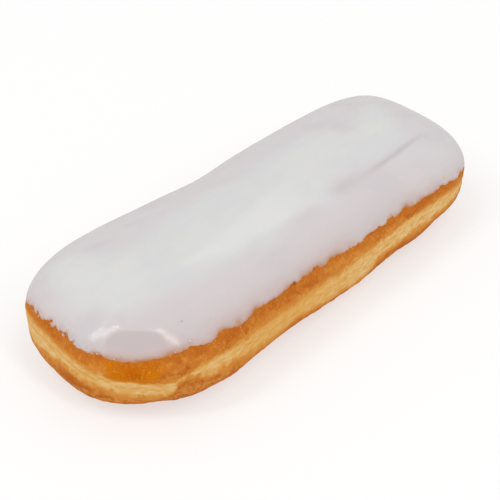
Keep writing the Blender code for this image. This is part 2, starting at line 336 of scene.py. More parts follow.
def hem_at(way):
    """Height of the smooth hem at each tape reading."""
    return np.interp(way, hem_ways, hem_heights, period=2.0 * WAY_TO_TIP)


print("hem from", round(hem_heights.min(), 1), "to", round(hem_heights.max(), 1), "mm high")

# %% [markdown]
# ## The pale line
#
# Dough floats in the oil, so each face fries in its turn and a strip along the waterline
# stays pale. It is not even: it wanders, thins out at the far end, and near the front
# corner a fold of browned dough crosses it. Its two edges are set as stations on the
# tape, taken from the photo on the side that shows and made up in the same spirit on
# the side that doesn't.

# %% Set the edges of the pale line
PALE_TOP = (
    (-186, 13.4), (-172, 14.2), (-150, 15.6), (-128, 15.0), (-104, 15.8), (-78, 15.1),
    (-52, 15.9), (-34, 16.2), (-20, 17.0), (-14, 18.0), (-6, 17.6), (3, 16.8), (9, 15.8),
    (14, 14.8), (18, 13.7), (24, 12.8), (30, 12.6), (33, 13.0), (36, 14.2), (40, 15.3),
    (56, 15.4), (76, 15.3), (94, 15.4), (106, 15.8), (118, 16.2), (132, 15.9),
    (138, 15.5), (144, 14.7), (150, 14.1), (158, 13.7), (172, 13.4),
)
PALE_BOTTOM = (
    (-186, 11.6), (-170, 10.4), (-150, 9.4), (-126, 10.6), (-100, 8.8), (-76, 10.2),
    (-50, 9.0), (-30, 9.4), (-20, 9.4), (-12, 9.4), (-6, 10.9), (3, 11.8), (9, 11.1),
    (14, 9.6), (19, 8.3), (27, 7.9), (30.5, 8.3), (32, 9.6), (33.2, 12.4), (35.5, 13.0),
    (38, 12.0), (42, 10.4),
    (50, 10.0), (57, 8.4), (63, 7.8), (73, 8.6), (83, 7.8), (90, 6.8), (98, 6.0),
    (105, 6.2), (108, 8.5), (114, 10.0), (122, 10.1), (133, 9.5), (142, 9.2),
    (148, 9.4), (158, 10.4), (172, 11.4),
)


def pale_share(points, softness):
    """1 in the middle of the pale line, 0 on the browned lobes."""
    way, height = way_of(points), points[:, 2]
    below_top = along_tape(way, PALE_TOP) - height
    above_bottom = height - along_tape(way, PALE_BOTTOM)
    return (smooth_step(below_top, -softness, softness)
            * smooth_step(above_bottom, -softness, softness))


SOFTNESS = (                      # how gradually the brown starts above the line, in mm
    (-60, 1.0), (-16, 0.8), (-6, 0.7), (6, 0.9), (18, 0.7), (28, 0.6), (36, 0.6), (44, 1.0),
    (58, 1.3), (80, 1.6), (104, 1.4), (120, 1.0), (150, 1.0),
)
PALENESS = (                      # how pale the line gets, 0 for golden to 1
    (-186, 0.7), (-140, 0.3), (-100, 0.9), (-60, 0.4), (-20, 0.7), (-8, 1.0), (4, 0.7),
    (14, 0.6), (22, 1.0), (32, 0.7), (44, 0.85), (56, 0.4), (66, 0.05), (78, 0.15),
    (88, 0.4), (98, 0.7), (112, 1.0), (138, 1.0), (160, 0.6),
)
print("pale line: ", len(PALE_TOP), "and", len(PALE_BOTTOM), "stations")

# %% [markdown]
# ## Cutting the crust finer
#
# The side from just above the floor up to a little past the hem gets faces of about half
# a millimetre, which is fine enough for flakes and pits to be real relief.

# %% Refine the side of the crust
LOW_CUT = 0.6                     # mm above the floor
HIGH_CUT = 2.2                    # mm past the hem
SIDE_CUTS = 2

crust_points = places_of(crust)
over_hem = crust_points[:, 2] - hem_at(way_of(crust_points))
cut_finer(crust, (crust_points[:, 2] > LOW_CUT) & (over_hem < HIGH_CUT), SIDE_CUTS)
print("crust:", triangles_in(crust), "triangles")

# %% [markdown]
# ## Relief of the crust
#
# The relief is made by moving vertices in and out along their normals, as a sculptor
# would with a small brush, with each kind of mark as one layer in millimetres. Browned
# crust is pitted and faintly pleated downwards. The pale line lies a little deeper, and
# its flakes and seams run along it. The fold stands up as a ridge.

# %% Shape the crust
PITS = ((0.10, (1.5, 1.5, 1.5), 1), (0.12, (3.2, 3.2, 3.2), 2))    # depth, size, seed
PLEATS = ((0.09, (1.3, 1.3, 6.0), 3),)
FLAKES = ((0.10, (7.0, 7.0, 1.1), 14), (0.05, (1.4, 1.4, 1.0), 5))
LINE_DEPTH = 0.18                 # mm that the pale line lies deeper
LINE_EDGE = 0.12                  # mm that its edges stand up
SEAM_DEPTH = 0.12                 # mm that its seams are cut in
LONG_SEAM = ((-18, 15.6), (-12, 15.7), (-4, 15.4), (2, 14.9), (8, 13.8), (14, 12.5))
FOLD_FROM = (36.5, 12.6)          # tape reading and height of the ridge's two ends
FOLD_TO = (44.5, 17.2)
FOLD_RISE = 0.45
HEM_FILL = 0.55                   # mm that the crust swells under the edge of the icing


def layered(points, layers):
    """A sum of grains, each given as its depth in mm, its size and its seed."""
    return sum(depth * grain(points, size, seed) for depth, size, seed in layers)


def in_seams(points):
    """1 in the thin seams that run along the pale line, between layers of dough."""
    level = grain(points, (9.0, 9.0, 1.5), 4)
    broken = smooth_step(grain(points, (5.0, 5.0, 3.0), 13), -0.25, 0.15)
    short_seams = (1.0 - smooth_step(np.abs(level), 0.0, 0.16)) * broken
    way = way_of(points)
    ends = smooth_step(way, -20.0, -14.0) * (1.0 - smooth_step(way, 9.0, 15.0))
    off = points[:, 2] - along_tape(way, LONG_SEAM) + 0.4 * grain(points, (4.0, 4.0, 4.0), 15)
    return np.maximum(short_seams, 0.8 * ends * hump(off, 0.0, 0.5))


def fold_layer(way, height):
    """The edge of the fold of dough that crosses the pale line."""
    start, end = np.array(FOLD_FROM), np.array(FOLD_TO)
    run = end - start
    apart = np.column_stack((way, height)) - start
    share = np.clip(apart @ run / (run @ run), 0.0, 1.0)
    off = np.linalg.norm(apart - np.outer(share, run), axis=1)
    return FOLD_RISE * hump(off, 0.0, 0.9) * (1.0 - 0.4 * share)


def swell_at_hem(over):
    """The crust comes out to meet the icing, which soaks in and has no step at its edge."""
    return HEM_FILL * smooth_step(over, -3.4, 0.2) * (1.0 - smooth_step(over, 1.8, 4.0))


def crust_relief(points):
    """How far each point of the crust moves outwards, in mm."""
    way, height = way_of(points), points[:, 2]
    pale = pale_share(points, 0.9)
    under_icing = smooth_step(height - hem_at(way), 0.3, 1.6)
    seated = 1.0 - smooth_step(height, 0.0, 1.5)
    flakes = layered(points, FLAKES) - SEAM_DEPTH * in_seams(points)
    relief = (1.0 - pale) * layered(points, PITS + PLEATS) + pale * (flakes - LINE_DEPTH)
    relief += LINE_EDGE * hump(pale, 0.5, 0.25) + fold_layer(way, height)
    return relief * (1.0 - under_icing) * (1.0 - seated) + swell_at_hem(height - hem_at(way))


crust_points = places_of(crust)
moves = crust_relief(crust_points)
put_places(crust, crust_points + places_of(crust, "normal") * moves[:, None])
print("crust moved by", round(moves.min(), 2), "to", round(moves.max(), 2), "mm")

# %% [markdown]
# The colours of the crust follow its form, which no noise can know. So each vertex is
# given a few numbers, such as how far it is above the pale line, and the material reads
# them as attributes.

# %% Write the crust's colour guides
def write_guide(piece, name, values):
    """Store one number for each vertex, for a material to read."""
    guide = piece.data.attributes.new(name, "FLOAT", "POINT")
    guide.data.foreach_set("value", values.astype(np.float32))


crust_points = places_of(crust)
crust_way = way_of(crust_points)
over_pale = crust_points[:, 2] - along_tape(crust_way, PALE_TOP)
write_guide(crust, "over_pale", over_pale / along_tape(crust_way, SOFTNESS))
write_guide(crust, "under_pale", along_tape(crust_way, PALE_BOTTOM) - crust_points[:, 2])
write_guide(crust, "under_hem", hem_at(crust_way) - crust_points[:, 2])
write_guide(crust, "amber",
            hump(crust_way, 22.0, 7.6) * smooth_step(crust_points[:, 2], 11.6, 15.2))
write_guide(crust, "seams", in_seams(crust_points))
write_guide(crust, "height", crust_points[:, 2])
write_guide(crust, "paleness", along_tape(crust_way, PALENESS))
print("guides", [guide.name for guide in crust.data.attributes][-7:])

# %% [markdown]
# ## A short way to write materials
#
# A material is a sum of patterns, and reads best as one. `Link` wraps a node's output so
# that Python's + - and * add Math nodes, and `Finish.add` adds any other node from its
# type, its settings and its inputs.

# %% Helpers for materials
class Link:
    """A node's output that can be used in sums."""

    def __init__(self, finish, socket):
        self.finish = finish
        self.socket = socket

    def maths(self, operation, first, second):
        return self.finish.add("ShaderNodeMath", {"operation": operation}, {0: first, 1: second})

    def __add__(self, other):
        return self.maths("ADD", self, other)

    def __mul__(self, other):
        return self.maths("MULTIPLY", self, other)

    def __sub__(self, other):
        return self.maths("SUBTRACT", self, other)

    def __rsub__(self, other):
        return self.maths("SUBTRACT", other, self)

    __radd__ = __add__
    __rmul__ = __mul__


class Finish:
    """One material, built by adding nodes."""

    def __init__(self, name):
        self.material = bpy.data.materials.new(name)
        self.material.use_nodes = True
        self.tree = self.material.node_tree
        self.shader = self.tree.nodes["Principled BSDF"]
        place = self.add("ShaderNodeTexCoord", {}, {}, "Object")
        self.place = self.add("ShaderNodeVectorMath", {"operation": "SCALE"},
                              {"Vector": place, "Scale": 1.0 / MM})

    def plug(self, socket, value):
        """Link a socket to a pattern, or set it to a plain value."""
        if isinstance(value, Link):
            self.tree.links.new(value.socket, socket)
        else:
            socket.default_value = value

    def add(self, kind, settings, inputs, output=0):
        """Add a node, set it up, fill its inputs, and give back one of its outputs."""
        node = self.tree.nodes.new(kind)
        for name, value in settings.items():
            setattr(node, name, value)
        for name, value in inputs.items():
            self.plug(node.inputs[name], value)
        return Link(self, node.outputs[output])

    def guide(self, name):
        """A number written on the mesh."""
        return self.add("ShaderNodeAttribute", {"attribute_name": name}, {}, "Fac")

    def stretched(self, scale):
        """The place on the object in mm, scaled along X, Y and Z."""
        return self.add("ShaderNodeVectorMath", {"operation": "MULTIPLY"},
                        {0: self.place, 1: scale})

    def speckle(self, scale, detail=2.0, rough=0.5):
        """Noise of about 0.25 to 0.75; scale in turns for each mm, along X, Y and Z."""
        return self.add("ShaderNodeTexNoise", {},
                        {"Vector": self.stretched(scale), "Scale": 1.0, "Detail": detail,
                         "Roughness": rough})

    def rise(self, value, low, high):
        """0 below low, 1 above high, smooth in between."""
        return self.add("ShaderNodeMapRange", {"interpolation_type": "SMOOTHSTEP"},
                        {"Value": value, "From Min": low, "From Max": high})

    def blend(self, share, first, second):
        """Colour that goes from the first to the second as the share rises."""
        return self.add("ShaderNodeMix", {"data_type": "RGBA"},
                        {0: share, 6: first, 7: second}, 2)

    def coats(self, colour, layers):
        """Paint layers of (share, colour) over a colour, one after the other."""
        for share, paint_over in layers:
            colour = self.blend(share, colour, paint_over)
        return colour

    def ramp(self, value, stops):
        """Colour read off a scale of (value, colour) stops."""
        low, high = stops[0][0], stops[-1][0]
        node = self.tree.nodes.new("ShaderNodeValToRGB")
        for index, (at, colour) in enumerate(stops):
            spots = node.color_ramp.elements
            spot = spots[index] if index < 2 else spots.new(1.0)
            spot.position, spot.color = (at - low) / (high - low), colour
        self.plug(node.inputs["Fac"], (value - low) * (1.0 / (high - low)))
        return Link(self, node.outputs["Color"])

    def darker(self, first, second):
        """The darker of two colours."""
        return self.add("ShaderNodeMix", {"data_type": "RGBA", "blend_type": "DARKEN"},
                        {0: 1.0, 6: first, 7: second}, 2)

    def bump(self, height, reach):
        """Fine relief: the height is in mm times the reach."""
        return self.add("ShaderNodeBump", {}, {"Height": height, "Distance": reach * MM,
                                               "Strength": 1.0})


def paint(red, green, blue):
    """A colour named by its screen values, 0 to 255, as a shader wants it."""
    screen = [value / 255.0 for value in (red, green, blue)]
    light = [v / 12.92 if v <= 0.04045 else ((v + 0.055) / 1.055) ** 2.4 for v in screen]
    return (*light, 1.0)


def seen(red, green, blue, light, gloss):
    """The paint that looks like a screen colour under so much light, with gloss on top."""
    return (*[max((v - gloss) / light, 0.0) for v in paint(red, green, blue)[:3]], 1.0)


print("a mid brown is", [round(v, 3) for v in paint(198, 121, 51)])

# %% [markdown]
# ## The colour of the crust
#
# Fried crust is never one brown. The lobes are golden brown with darker pleats and pale
# specks, the lower one darkens towards the floor, and the dough turns to honey at the
# edges of the pale line. The pale line itself has lighter flakes along it. Just under the
# icing the crust is darker, partly where the icing soaked in and partly as painted shade
# under its edge, and the lowest rim, where the side turns under, gets painted shade. The
# colour is laid on in thin coats, each over the one before, with a share that says where
# it shows.

# %% Paint the crust
SIDE_LIGHT = 0.9                  # share of a colour that comes back from the side
SIDE_GLOSS = 0.003


def baked(red, green, blue):
    """A colour of the side, named as it is seen there."""
    return seen(red, green, blue, SIDE_LIGHT, SIDE_GLOSS)


ABOVE_PALE = (
    (-1.6, baked(212, 160, 84)), (-0.6, baked(209, 151, 74)), (0.0, baked(203, 138, 60)),
    (0.8, baked(194, 121, 48)), (1.8, baked(190, 113, 42)),
)
BELOW_PALE = (
    (-2.0, baked(212, 160, 84)), (-1.0, baked(210, 154, 80)), (-0.2, baked(204, 140, 64)),
    (0.8, baked(194, 121, 47)), (1.6, baked(184, 107, 38)), (2.6, baked(177, 98, 32)),
    (5.0, baked(175, 97, 31)), (9.0, baked(172, 95, 32)), (11.0, baked(166, 96, 48)),
)


def crust_finish():
    """Browned lobes, honey edges and the pale line."""
    mix = Finish("fried crust")
    streaks = mix.speckle((1.3, 1.3, 0.35), 3.0, 0.6)
    flakes = mix.speckle((0.42, 0.42, 1.2), 4.0, 0.65)
    clouds = mix.speckle((0.22, 0.22, 0.35), 3.0)
    blotches = mix.speckle((0.5, 0.5, 0.6), 3.0, 0.6)
    patches = mix.speckle((0.1, 0.1, 0.22), 2.0)
    crumb = mix.speckle((2.4, 2.4, 2.4), 2.0, 0.6)
    grit = mix.speckle((1.9, 1.9, 1.9), 1.0)

    wander = (streaks - 0.5) * 2.2 + (clouds - 0.5) * 3.4 + (blotches - 0.5) * 3.0
    over = mix.guide("over_pale") + wander
    under = mix.guide("under_pale") + wander
    line = (1.0 - mix.rise(over, -1.7, -0.3)) * (1.0 - mix.rise(under, -1.7, -0.3))
    lobes = mix.rise(over, -0.4, 1.0) + mix.rise(under, -0.4, 1.0)
    # near_hem: the band just under the icing's edge, painted darker below, partly as crust
    # soaked by the icing and partly as painted shade under the edge
    near_hem = 1.0 - mix.rise(mix.guide("under_hem") + wander, 0.3, 2.4)
    lighter = mix.rise(patches * 0.3 + blotches * 0.4 + streaks * 0.3, 0.49, 0.59)
    redder = mix.rise(1.0 - (patches * 0.3 + blotches * 0.4 + clouds * 0.3), 0.49, 0.59)
    paleness, amber = mix.guide("paleness"), mix.guide("amber")

    colour = mix.darker(mix.ramp(over, ABOVE_PALE), mix.ramp(under, BELOW_PALE))
    colour = mix.coats(colour, (
        (line * paleness, baked(215, 175, 112)),
        (line * mix.rise(flakes, 0.48, 0.62) * (0.3 + paleness * 0.5), baked(224, 190, 134)),
        (line * mix.rise(1.0 - flakes, 0.5, 0.64) * 0.6, baked(207, 149, 70)),
        (line * mix.guide("seams") * 0.7, baked(206, 142, 56)),
        (lobes * lighter * 0.8, baked(204, 135, 60)),
        (lobes * redder * 0.9, baked(172, 91, 29)),
        # painted shade under the icing's edge, together with crust soaked by the icing
        (near_hem * 0.35, baked(181, 99, 34)),
        (mix.rise(amber + (clouds - 0.5) * 0.9, 0.2, 0.6), baked(198, 114, 0)),
        (mix.rise(amber + (streaks - 0.5) * 1.6, 0.7, 1.1) * 0.75, baked(180, 91, 0)),
        # the darker hem band again, over the amber: soaked crust and painted shade
        (near_hem * 0.45, baked(180, 98, 30)),
        (mix.rise(grit, 0.68, 0.76) * 0.5, baked(222, 176, 112)),
        (lobes * mix.rise(1.0 - crumb, 0.56, 0.72) * 0.4, baked(166, 88, 32)),
        (lobes * mix.rise(crumb, 0.56, 0.7) * 0.3, baked(214, 150, 80)),
        # painted shade on the lowest rim, where the side turns under towards the floor
        (mix.rise(1.7 - mix.guide("height"), 0.0, 1.2) * 0.6, baked(160, 84, 36)),
    ))
    mix.plug(mix.shader.inputs["Base Color"], colour)
    mix.plug(mix.shader.inputs["Roughness"], 0.62 + crumb * 0.15)

    relief = crumb * 0.5 + streaks * 0.5
    mix.plug(mix.shader.inputs["Normal"], mix.bump(relief, 0.12))
    mix.shader.inputs["Specular IOR Level"].default_value = 0.05
    mix.shader.inputs["Subsurface Weight"].default_value = 0.12
    mix.shader.inputs["Subsurface Radius"].default_value = (1.0, 0.5, 0.25)
    mix.shader.inputs["Subsurface Scale"].default_value = 0.8 * MM
    return mix.material


crust.data.materials.append(crust_finish())
print("crust painted")

# %% [markdown]
# ## Where the icing lies thick
#
# Freshly dipped icing sets white where it pooled and turns faintly pink where the crust
# shows through. The white patch runs along the middle, between two edges that are
# set from the photo. A brighter tongue inside it starts at a sharp tip, where the icing
# was drawn along the bar. It is painted brighter, partly as whiter icing and partly as a
# painted highlight along its ridge.

# %% Map the thick icing
WHITE_FAR_EDGE = (                # x and y, mm
    (-70, 0), (-68, 3), (-66, 9.5), (-63, 17.5), (-58, 21.5), (-55.5, 19), (-54, 14),
    (-51, 8), (-49.5, 4.6), (-47, 4.2), (-44, 5), (-38, 6.5), (-33.5, 6.8), (-31, 8.5),
    (-16, 10.3), (-8.5, 9.2), (0, 8), (5.5, 9), (19, 10.5), (27, 11), (33.5, 8.5),
    (35.2, 4), (36.2, -0.5), (40.5, 1.2), (45.5, 5.5), (51.5, 7.5), (58, 10.5), (72, 21),
)
WHITE_NEAR_EDGE = (
    (-70, 0), (-66, -2), (-64, -9), (-61.5, -12), (-49, -14), (-41, -14.5), (-33.5, -15.5),
    (-16, -17.5), (-8.5, -16), (-4.5, -12.6), (-1, -12.3), (2, -13), (5, -16), (7.5, -18.5),
    (10.8, -13.5), (13, -10.8), (19, -11.2), (35, -12.2), (47, -11.8), (51.5, -4.8),
    (55.5, -2), (57, 2.5), (59.5, 9), (72, 20),
)
BLUR_STEPS = 40
GOLDEN_TURN = math.pi * (3.0 - math.sqrt(5.0))
TONGUE_TIP = (-42.0, -10.5)
TONGUE_EDGE = ((-42, -10.5), (-41, -9.2), (-33.5, -7.8), (-21, -6.6), (-13.5, -5.5),
               (-6, -4.2), (2, -3.4), (16, -3.0))


def between_edges(points):
    """1 inside the white patch, 0 outside it, with a hard edge."""
    x, y = points[:, 0], points[:, 1]
    inside = ((y < np.interp(x, *zip(*WHITE_FAR_EDGE)))
              & (y > np.interp(x, *zip(*WHITE_NEAR_EDGE))))
    return inside.astype(float)


def in_tongue(points):
    """1 in the bright tongue, fading out towards the far end, with a hard edge."""
    x, y = points[:, 0], points[:, 1]
    wide = np.clip(x - TONGUE_TIP[0], 0.0, 26.0)
    inside = (y < np.interp(x, *zip(*TONGUE_EDGE))) & (y > TONGUE_TIP[1] - 0.15 * wide)
    return inside * (x > TONGUE_TIP[0]) * (1.0 - smooth_step(x, -8.0, 14.0))


def blurred(shape, points, reach):
    """A hard-edged shape softened by averaging it over a disc of the given reach, in mm."""
    drawn = 1.3 * grain(points, (9.0, 4.0, 6.0), 6) + 0.7 * grain(points, (5.0, 1.6, 4.0), 7)
    total = np.zeros(len(points))
    for turn in range(BLUR_STEPS):
        angle, radius = turn * GOLDEN_TURN, reach * math.sqrt((turn + 0.5) / BLUR_STEPS)
        step = np.array((math.cos(angle), math.sin(angle), 0.0)) * radius
        total += shape(points + step + np.outer(drawn, (0.3, 1.0, 0.0)))
    return total / BLUR_STEPS


print("white patch from", WHITE_FAR_EDGE[0][0], "to", WHITE_FAR_EDGE[-1][0], "mm along the bar")

# %% [markdown]
# ## Cutting the icing finer
#
# The face of the icing gets one cut all over, and more cuts where it has small forms: the
# hem with its crags, the front shoulder with its dish, and a strip along the crease. The
# lining, which lies against the dough, never shows and stays coarse.

# %% Refine the icing
HEM_BAND = 3.5                    # mm above the hem that are cut finest
LINING_REACH = 0.5                # the hidden lining is nearer to the dough than this
CREASE_START, CREASE_SIDE = 6.0, -14.0    # x and y of a long crease in the top, mm
CREASE_STRIP = 3.0                # mm on each side of it
TOP_FROM = 22.0                   # height in mm above which the top begins
DISH_WAY, DISH_HEIGHT = 22.6, 20.7    # middle of a dish on the front shoulder


def hem_rise(points):
    """Height of each point over the smooth hem."""
    return points[:, 2] - hem_at(way_of(points))


def nearest(tree, points):
    """Nearest place and its normal on a surface, and the distance out of it, in mm."""
    found = [tree.find_nearest(Vector(p) * MM) for p in points]
    spots = np.array([hit[0] for hit in found]) / MM
    ways_out = np.array([hit[1] for hit in found])
    return spots, ways_out, np.einsum("ij,ij->i", points - spots, ways_out)


def everywhere(points):
    """All the points."""
    return np.ones(len(points), bool)


def round_dish(points, reach, lift, spread):
    """Points within a reach of the dish along the tape, and a spread of its lifted height."""
    return ((np.abs(way_of(points) - DISH_WAY) < reach)
            & (np.abs(points[:, 2] - DISH_HEIGHT - lift) < spread))


def hem_and_shoulder(points):
    """The hem all round, and the shoulder round the dish."""
    return (hem_rise(points) < HEM_BAND) | round_dish(points, reach=16.0, lift=1.0, spread=4.5)


def dish_and_edge(points):
    """The dish and its edge."""
    return round_dish(points, reach=14.0, lift=1.4, spread=3.0)


def crease_strip(points):
    """A strip along the crease."""
    x, y, z = points.T
    return (x > CREASE_START) & (np.abs(y - CREASE_SIDE) < CREASE_STRIP) & (z > TOP_FROM)


dough_tree = BVHTree.FromObject(frame["nodes"]["dough"], bpy.context.evaluated_depsgraph_get())
for wanted in (everywhere, hem_and_shoulder, dish_and_edge, crease_strip, crease_strip):
    icing_points = places_of(icing)
    outside = nearest(dough_tree, icing_points)[2] > LINING_REACH
    cut_finer(icing, wanted(icing_points) & outside, 1)
print("icing:", triangles_in(icing), "triangles")

# %% [markdown]
# ## Fitting the icing to the crust
#
# Real icing has no gap under it and no cut edge: it thins to nothing against the crust.
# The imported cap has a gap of 0.3 mm and a lip, because checked solids can't touch. So
# its lining is sunk into the dough, where it doesn't show, and its face is brought down
# to the crust in a small round at the hem. Where the crags of the hem leave the crust
# bare, the face dips under the crust.

# %% Fit the icing
LINING_SINK = 0.6                 # the lining goes this far into the dough
HEM_ROUND = 1.8                   # mm over which the edge rounds up to full thickness
DIP = 0.3                         # most that the bare face goes under the crust
DIP_SLOPE = 0.4
HEM_PULL = 0.5                    # the face is drawn down this much at the hem
FINE_CRAGS = 0.25                 # mm, all round
LEFT_CRAGS = 0.6                  # more of them at the left end
BITES = 0.9                       # rounder bites, at the left end only
COARSE_CRAGS = 0.95               # wider ones, all round
STEPS = 0.38                      # drips with a flat edge, on the near side


def hem_crags(points):
    """How much higher the real hem is than the smooth one, in mm."""
    way = way_of(points)
    front = hump(way, 24.0, 9.0)
    left = hump(way, -2.0, 18.0)
    near_side = smooth_step(way, 34.0, 46.0)
    fine = grain(points, (0.9, 0.9, 0.9), 8) * (FINE_CRAGS + LEFT_CRAGS * left)
    bites = smooth_step(grain(points, (1.5, 1.5, 2.2), 12), 0.0, 0.25) * BITES * left
    coarse = grain(points, (4.2, 4.2, 4.2), 9) * COARSE_CRAGS * (1.0 - 0.6 * front)
    steps = smooth_step(grain(points, (3.6, 3.6, 3.6), 16), -0.12, 0.18) - 0.5
    return fine * (1.0 - 0.8 * front) + bites + coarse + steps * STEPS * near_side


def fitted_icing(points, normals, crust_tree, dough_tree):
    """Places of the icing's points once it hugs the crust, and their height over the hem."""
    lining = nearest(dough_tree, points)[2] < LINING_REACH
    near_hem = 1.0 - smooth_step(hem_rise(points), 0.0, 4.0)
    drawn = points - np.outer(HEM_PULL * near_hem * ~lining, (0.0, 0.0, 1.0))
    spots, ways_out, off = nearest(crust_tree, drawn)
    over = hem_rise(drawn) - hem_crags(drawn)
    share = np.clip(over / HEM_ROUND, 0.0, 1.0)
    rounding = share * (2.0 - share)
    dip = np.clip(-over * DIP_SLOPE, 0.0, DIP)
    face = drawn - normals * (off * (1.0 - rounding) + dip)[:, None]
    sunk = spots - ways_out * LINING_SINK
    inland = smooth_step(hem_rise(drawn), 0.3, 2.2)
    return np.where(lining[:, None], sunk, face), over + hem_crags(drawn) * inland


crust_tree = BVHTree.FromObject(crust, bpy.context.evaluated_depsgraph_get())
fitted, over_hem = fitted_icing(places_of(icing), places_of(icing, "normal"),
                                crust_tree, dough_tree)
put_places(icing, fitted)
print("icing fitted,", int((over_hem < 0).sum()), "points under the crust line")

# %% [markdown]
# ## Relief of the icing
#
# Icing is smooth but not level. It stands a little higher where it is white, it was
# drawn along the bar and left a crease on the near side, and on the front shoulder it
# sagged into a shallow dish. The dish has no rim. It shows because the shine of the two
# soft boxes breaks off at its edge, and because it is painted darker there, a painted
# reflection of the darker gap between the boxes.

# %% Shape the icing
CREASE = (                        # x and y, mm
    (9.0, -14.6), (16.0, -14.2), (26.0, -14.6), (38.0, -14.2), (52.0, -13.2), (57.0, -13.8),
)
CREASE_DEPTH = 0.22
SWELL = ((-64.5, 1.2), (-64.1, -5.8), (-64.5, -10.8))    # a faint ridge over the front end
SWELL_RISE = 0.07
WHITE_RISE, TONGUE_RISE = 0.22, 0.14    # mm that the white patch and its tongue stand up
UNLEVEL = ((0.10, (16.0, 9.0, 9.0), 10),)    # depth, size, seed, as for the crust
DRAWN_LINES = ((0.03, (16.0, 2.2, 5.0), 11),)
DISH_LENGTH, DISH_DEPTH = 8.4, 3.1    # reach of the dish along the tape and in height
DISH_CORNER = 3.0                 # 2 makes the dish an ellipse, more makes it squarer
DISH_STEP, DISH_BOWL = 0.10, 0.32     # mm deep at its edge, and deeper in the middle


def in_dish(points):
    """1 in the dish where the icing sagged, 0 outside it."""
    along = np.abs(way_of(points) - DISH_WAY) / DISH_LENGTH
    across = np.abs(points[:, 2] - DISH_HEIGHT) / DISH_DEPTH
    edge = np.where(points[:, 2] > DISH_HEIGHT, 0.1, 0.4)
    reach = (along ** DISH_CORNER + across ** DISH_CORNER) ** (1.0 / DISH_CORNER)
    return 1.0 - smooth_step(reach, 1.0 - edge, 1.0 + edge)


def sag(points):
    """How far the icing sank in the dish: most in the middle, least at its two ends."""
    along = (way_of(points) - DISH_WAY) / DISH_LENGTH
    down = (DISH_HEIGHT + DISH_DEPTH - points[:, 2]) / DISH_DEPTH
    bowl = np.clip(1.0 - along * along, 0.0, 1.0) * smooth_step(down, -0.1, 0.7)
    return DISH_STEP * in_dish(points) + DISH_BOWL * bowl * smooth_step(points[:, 2], 17.5, 19.5)


def near_line(points, corners, spread):
    """A rounded ridge along a line through corners: 1 on the line."""
    places = points[:, :len(corners[0])]
    best = np.full(len(points), np.inf)
    for start, end in zip(corners, corners[1:]):
        start, run = np.array(start), np.array(end) - np.array(start)
        share = np.clip((places - start) @ run / (run @ run), 0.0, 1.0)
        best = np.minimum(best, np.linalg.norm(places - start - np.outer(share, run), axis=1))
    return hump(best, 0.0, spread)


def in_crease(points):
    """1 along the crease: wide and faint where it starts, narrow and deep further on."""
    x = points[:, 0]
    depth = 0.45 * smooth_step(x, 7.0, 14.0) + 0.55 * smooth_step(x, 24.0, 34.0)
    fade = 1.0 - smooth_step(x, 44.0, 59.0)
    wide, narrow = near_line(points, CREASE, 1.8), near_line(points, CREASE, 0.8)
    slim = smooth_step(x, 16.0, 34.0)
    return depth * fade * (wide * (1.0 - slim) + narrow * slim)


def icing_relief(points):
    """How far the face of the icing moves outwards, in mm."""
    inland = smooth_step(hem_rise(points), 0.8, 4.0)
    white = blurred(between_edges, points, 5.0)
    tongue = blurred(in_tongue, points, 2.0)
    level = layered(points, UNLEVEL + DRAWN_LINES) - CREASE_DEPTH * in_crease(points)
    shoulder = SWELL_RISE * near_line(points, SWELL, 1.2) - sag(points)
    return inland * (WHITE_RISE * white + TONGUE_RISE * tongue + level + shoulder)


icing_points = places_of(icing)
on_face = nearest(dough_tree, icing_points)[2] > 0.0
moves = icing_relief(icing_points) * on_face
put_places(icing, icing_points + places_of(icing, "normal") * moves[:, None])
print("icing moved by", round(moves.min(), 2), "to", round(moves.max(), 2), "mm")

# %% [markdown]
# The icing gets its guides in the same way. Its height over the hem is scaled by how
# sharply the edge turns from brown to white there, which the photo shows to differ.

# %% Write the icing's colour guides
CRISPNESS = (                     # tape reading, and 1 for an edge of ordinary sharpness
    (-100, 1.2), (-40, 1.3), (-12, 1.9), (6, 1.7), (16, 0.8), (40, 0.85), (60, 1.0),
    (124, 1.0), (140, 1.5), (160, 1.5),
)

icing_points = places_of(icing)
write_guide(icing, "over_hem", over_hem * along_tape(way_of(icing_points), CRISPNESS))
write_guide(icing, "white", blurred(between_edges, icing_points, 4.4))
write_guide(icing, "tongue", blurred(in_tongue, icing_points, 1.3))
write_guide(icing, "crease", in_crease(icing_points))
write_guide(icing, "dish", in_dish(icing_points))
print("guides", [guide.name for guide in icing.data.attributes][-5:])

# %% [markdown]
# ## The colour of the icing
#
# Sugar icing is white but lets a little light through, so it has some subsurface
# scattering, set as plain numbers. Its colour goes from white in the thick patch to a
# faint pink round it, and to a warm pink where it is thinnest, at the hem. On top of
# that, the crease gets painted shade, and the dish a painted reflection of the darker gap
# between the soft boxes. The tongue is painted brighter, partly as whiter icing and
# partly as a painted highlight along its ridge.

# %% Paint the icing
TOP_LIGHT = 0.99                  # share of a colour that comes back from the top
TOP_GLOSS = 0.012


def glazed(red, green, blue):
    """A colour of the icing, named as it is seen there."""
    return seen(red, green, blue, TOP_LIGHT, TOP_GLOSS)


THIN_ICING = (                    # from the edge inwards, in mm
    (0.0, glazed(190, 126, 82)), (0.4, glazed(196, 156, 134)), (0.9, glazed(201, 177, 170)),
    (1.6, glazed(206, 189, 186)), (3.5, glazed(212, 202, 202)), (6.0, glazed(215, 208, 210)),
    (10.0, glazed(216, 211, 213)),
)


